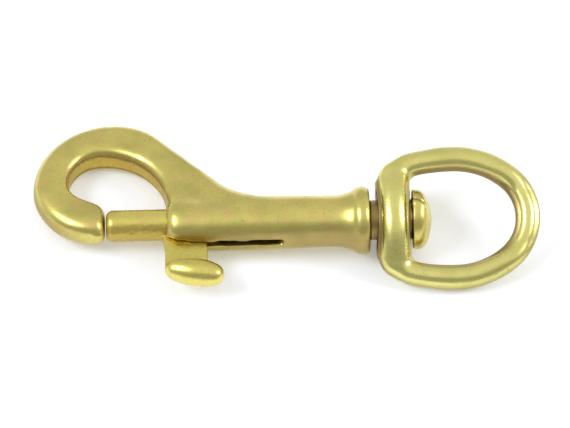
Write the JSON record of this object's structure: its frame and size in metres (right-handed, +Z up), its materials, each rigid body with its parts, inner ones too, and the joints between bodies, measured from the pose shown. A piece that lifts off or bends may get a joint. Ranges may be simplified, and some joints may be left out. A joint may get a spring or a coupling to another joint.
{
  "type": "trigger snap",
  "caption": "Cast brass trigger snap: a hook closed by a sprung sliding bolt with a thumb tab, on a slotted barrel with a D-shaped swivel eye.",
  "frame": {"origin": "centre of the snap's outline, on the table that it lies on", "axes": "+X from the hook to the eye along the barrel, +Y towards the hook's crown and away from the trigger, +Z up; the barrel is pitched up by about 2 degrees and rolled by about 4, as it rests"},
  "size_m": [0.1014, 0.0406, 0.0152],
  "materials": {
    "body_brass": "tumbled and hand-polished casting, slightly tarnished",
    "bolt_brass": "polished casting with raw cast sides",
    "spring_wire": "drawn spring wire",
    "rivet_brass": "turned, with a peened head",
    "eye_brass": "bright polished casting"
  },
  "bodies": {
    "body": {"snap_body": "body_brass", "swivel_rivet": "rivet_brass", "bolt_spring": "spring_wire"},
    "bolt": {"trigger_bolt": "bolt_brass"},
    "eye": {"swivel_eye": "eye_brass"}
  },
  "joints": [
    {"name": "trigger_slide", "type": "slide", "parent": "body", "child": "bolt", "axis": [0.9994, 0, 0.0359], "range_m": [0, 0.0138], "stiffness_N_per_m": 250, "springref_m": -0.012, "deforming": ["bolt_spring"]},
    {"name": "eye_swivel", "type": "hinge", "parent": "body", "child": "eye", "pos_m": [0.02118, -0.00496, 0.00712], "axis": [0.9994, 0, 0.0359], "continuous": true}
  ]
}
